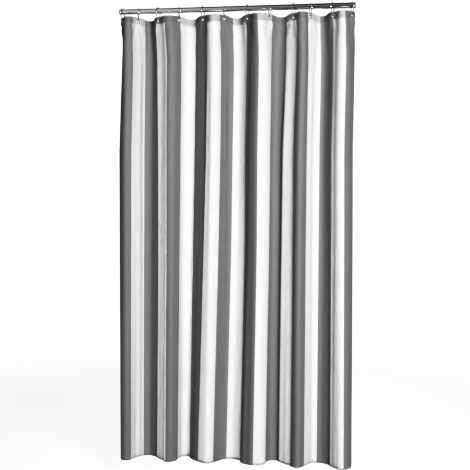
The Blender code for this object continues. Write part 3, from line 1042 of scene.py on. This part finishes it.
    def stitching(self, hang):
        """Lockstitch lines along the header and the hem, a stitch every 3 mm, on both faces."""
        sizes = hang.sizes
        length, gap, radius = 0.0024, 0.003, 0.00018
        made = []
        half = sizes.thickness / 2
        front = -sizes.layer_offset
        lines = {
            "header_stitching": [
                (0.0035, (front - half, -front + half)),
                (sizes.header_height - 0.0008, (front - half, front + 0.0007 + half)),
            ],
            "hem_stitching": [
                (hang.length - sizes.hem_height + 0.0018, (front - half, front + 0.0007 + half)),
            ],
        }
        seams = {name: [] for name in (*lines, "side_stitching")}
        for inset in (sizes.side_hem - 0.002, sizes.flat_width - sizes.side_hem + 0.002):
            top, bottom = sizes.header_height + 0.006, hang.length - sizes.hem_height - 0.006
            starts = np.arange(top, bottom - length, gap * 1.5)
            down = np.stack([starts, starts + length / 2, starts + length], axis=1).ravel()
            for offset in (front - half, front + sizes.thickness + 0.00015 + half):
                line = hang.points(down, [inset], np.full(len(down), offset))[:, 0]
                seams["side_stitching"] += list(line.reshape(-1, 3, 3))
        for name, rows in lines.items():
            for depth, offsets in rows:
                starts = np.arange(0.003, sizes.flat_width - 0.004, gap)
                across = np.stack([starts, starts + length / 2, starts + length], axis=1).ravel()
                for offset in offsets:
                    line = hang.points([depth], across, [offset])[0]
                    seams[name] += list(line.reshape(-1, 3, 3))
        for name, paths in seams.items():
            bm = wire(name, paths, radius, 4, False)
            item = object_from(bm, name)
            finish_piece(item, sewing_thread(), "curtain")
            draw_up(item)
            made.append(item)
        return made


class CURTAIN_OT_stage(bpy.types.Operator):
    """Adds the floor, the soft lights and the camera"""

    bl_idname = "curtain.add_stage"
    bl_label = "Stage"

    def execute(self, context):
        stage = context.scene.curtain_stage
        self.floor(stage)
        self.surroundings(context.scene)
        self.lights()
        self.camera(context.scene, stage)
        self.contrast(context.scene.view_settings)
        return {"FINISHED"}

    def contrast(self, view):
        """The view's contrast curve, which darkens the lowest levels and lifts the others."""
        view.view_transform = "Standard"
        view.use_curve_mapping = True
        curve = view.curve_mapping.curves[3]
        for level, shade in CONTRAST_CURVE:
            curve.points.new(level, shade)
        view.curve_mapping.update()

    def floor(self, stage):
        """A wide pale floor below the hem."""
        bm = bmesh.new()
        bmesh.ops.create_circle(bm, cap_ends=True, segments=96, radius=14.0)
        place = Matrix.Translation((ROD_HIGH.x / 2, 0, PANEL_LOW.z - stage.floor_below))
        bmesh.ops.transform(bm, matrix=place, verts=bm.verts)
        floor = object_from(bm, "pale_floor")
        floor.data.materials.append(pale_floor())
        floor.visible_diffuse = False
        floor.visible_glossy = False

    def surroundings(self, scene):
        """A white studio behind, dim for what it lights, and banded for what the chrome mirrors."""
        world = bpy.data.worlds.new("studio")
        scene.world = world
        world.use_nodes = True
        tree = world.node_tree
        tree.nodes.clear()
        path = add_node(tree, "ShaderNodeLightPath")
        toward = add_node(tree, "ShaderNodeTexCoord")
        split = add_node(tree, "ShaderNodeSeparateXYZ", {0: toward.outputs["Generated"]})
        pale = self.bands(tree, split.outputs["Z"], PALE_BANDS)
        dark = self.bands(tree, split.outputs["Z"], DARK_BANDS)
        side = add_node(tree, "ShaderNodeMapRange", {0: split.outputs["X"], 1: PALE_UP_TO, 2: DARK_FROM})
        mirrored = add_node(
            tree, "ShaderNodeMix", {"Factor": side.outputs[0], 6: pale, 7: dark}, data_type="RGBA",
        )
        lit = add_node(
            tree, "ShaderNodeMix",
            {
                "Factor": path.outputs["Is Glossy Ray"], 6: (STUDIO_DIM, STUDIO_DIM, STUDIO_DIM, 1.0),
                7: mirrored.outputs[2],
            },
            data_type="RGBA",
        )
        seen = add_node(
            tree, "ShaderNodeMix",
            {"Factor": path.outputs["Is Camera Ray"], 6: lit.outputs[2], 7: (1.0, 1.0, 1.0, 1.0)},
            data_type="RGBA",
        )
        light = add_node(tree, "ShaderNodeBackground", {"Color": seen.outputs[2]})
        add_node(tree, "ShaderNodeOutputWorld", {"Surface": light.outputs[0]})

    def bands(self, tree, height, stops):
        """Grey bands of the studio, from straight below (-1) to straight above (1)."""
        spread = add_node(tree, "ShaderNodeMapRange", {0: height, 1: -1.0, 2: 1.0})
        ramp = add_node(tree, "ShaderNodeValToRGB", {0: spread.outputs[0]})
        elements = ramp.color_ramp.elements
        for index, (level, shade) in enumerate(stops):
            element = elements[index] if index < 2 else elements.new((level + 1) / 2)
            element.position = (level + 1) / 2
            element.color = (shade, shade, shade, 1.0)
        return ramp.outputs[0]

    def lights(self):
        """A key light from the front right, a light behind the cloth and a weak one above it."""
        target = Vector((ROD_HIGH.x / 2, 0.0, (PANEL_LOW.z + PANEL_HIGH.z) / 2))
        for name, place, size, power, spread in (
            ("key", (3.20, -4.30, 0.1), 1.2, 372.0, 180),
            ("back", (0.5, 3.0, -0.8), 2.6, 84.0, 75),
            ("top", (0.5, -0.8, 3.2), 3.0, 8.0, 180),
        ):
            lamp = bpy.data.lights.new(name, "AREA")
            lamp.shape = "DISK"
            lamp.size = size
            lamp.energy = power
            lamp.spread = math.radians(spread)
            item = bpy.data.objects.new(name, lamp)
            bpy.context.scene.collection.objects.link(item)
            item.location = place
            item.rotation_euler = (target - Vector(place)).to_track_quat("-Z", "Y").to_euler()
            item.visible_camera = False
            item.visible_glossy = name == "key"

    def camera(self, scene, stage):
        """A camera turned a little to the right of the curtain's front."""
        data = bpy.data.cameras.new("camera")
        data.lens = stage.camera_lens
        data.sensor_width = 36.0
        item = bpy.data.objects.new("camera", data)
        scene.collection.objects.link(item)
        turn, tilt = stage.camera_turn, stage.camera_tilt
        away = stage.camera_away
        across, back = math.sin(turn), math.cos(turn)
        item.location = (CAMERA_MIDDLE + away * across, -away * back, -stage.camera_drop)
        level = math.cos(tilt)
        ahead = Vector((-across * level, back * level, -math.sin(tilt)))
        item.rotation_euler = ahead.to_track_quat("-Z", "Y").to_euler()
        scene.camera = item


class CURTAIN_PT_panel(bpy.types.Panel):
    """The curtain's sizes and its pieces"""

    bl_idname = "CURTAIN_PT_panel"
    bl_label = "Shower curtain"
    bl_space_type = "VIEW_3D"
    bl_region_type = "UI"
    bl_category = "Curtain"

    def draw(self, context):
        for holder, sizes in GROUPS:
            box = self.layout.box()
            for name in sizes.__annotations__:
                box.prop(getattr(context.scene, holder), name)
        for operator in OPERATORS:
            self.layout.operator(operator.bl_idname)


GROUPS = (
    ("curtain_cloth", CurtainClothSizes),
    ("curtain_metal", CurtainMetalSizes),
    ("curtain_stage", CurtainStage),
)
OPERATORS = (
    CURTAIN_OT_rod,
    CURTAIN_OT_rings,
    CURTAIN_OT_eyelets,
    CURTAIN_OT_cloth,
    CURTAIN_OT_stage,
)


def register():
    """Registers the sizes, the operators and the panel."""
    for name, group in GROUPS:
        bpy.utils.register_class(group)
        setattr(bpy.types.Scene, name, bpy.props.PointerProperty(type=group))
    for item in (*OPERATORS, CURTAIN_PT_panel):
        bpy.utils.register_class(item)


def unregister():
    """Takes them all off again."""
    for item in (CURTAIN_PT_panel, *reversed(OPERATORS)):
        bpy.utils.unregister_class(item)
    for name, group in reversed(GROUPS):
        delattr(bpy.types.Scene, name)
        bpy.utils.unregister_class(group)


def main():
    """Builds the curtain and its stage."""
    register()
    for name in ("add_rod", "add_rings", "add_eyelets", "add_cloth", "add_stage"):
        getattr(bpy.ops.curtain, name)()


if __name__ == "__main__":
    main()
